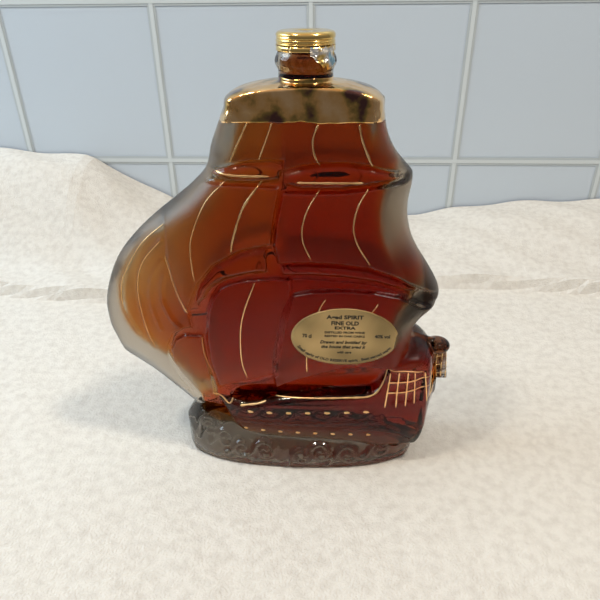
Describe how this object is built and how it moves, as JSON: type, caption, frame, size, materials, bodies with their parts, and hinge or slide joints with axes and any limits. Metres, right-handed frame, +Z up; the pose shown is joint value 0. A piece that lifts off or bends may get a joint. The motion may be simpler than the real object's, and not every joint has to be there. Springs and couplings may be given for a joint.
{
  "type": "ship-shaped decanter",
  "caption": "Moulded glass decanter shaped as a galleon under sail, filled with amber spirit, with a gilt shoulder, an oval label and a short metal screw cap.",
  "frame": {"origin": "on the table under the middle of the whole outline", "axes": "+Z up along the neck, +X to the ship's stern, -Y out of the side that carries the label"},
  "size_m": [0.2083, 0.0628, 0.2554],
  "materials": {
    "glass": "frosted sails, clear hull and base, gilt shoulder and lines",
    "spirit": "clear amber liquid",
    "cap_metal": "polished gold lacquer",
    "liner": "matte",
    "foil": "crumpled foil",
    "label": "satin pale gold"
  },
  "bodies": {
    "bottle": {"bottle": "glass", "spirit": "spirit", "tamper_ring": "cap_metal", "seal_scrap": "foil", "front_label": "label"},
    "wad": {"cap_liner": "liner"},
    "cap": {"screw_cap": "cap_metal"}
  },
  "joints": [
    {"name": "cap_lift", "type": "slide", "parent": "bottle", "child": "wad", "axis": [0, 0, 1], "range_m": [0, 0.006]},
    {"name": "cap_turn", "type": "hinge", "parent": "wad", "child": "cap", "pos_m": [0.01775, 0, 0.2525], "axis": [0, 0, 1], "range_deg": [0, 720]}
  ],
  "couplings": [
    {"joint": "cap_lift", "follows": "cap_turn", "m_per_rad": 0.00047746}
  ]
}
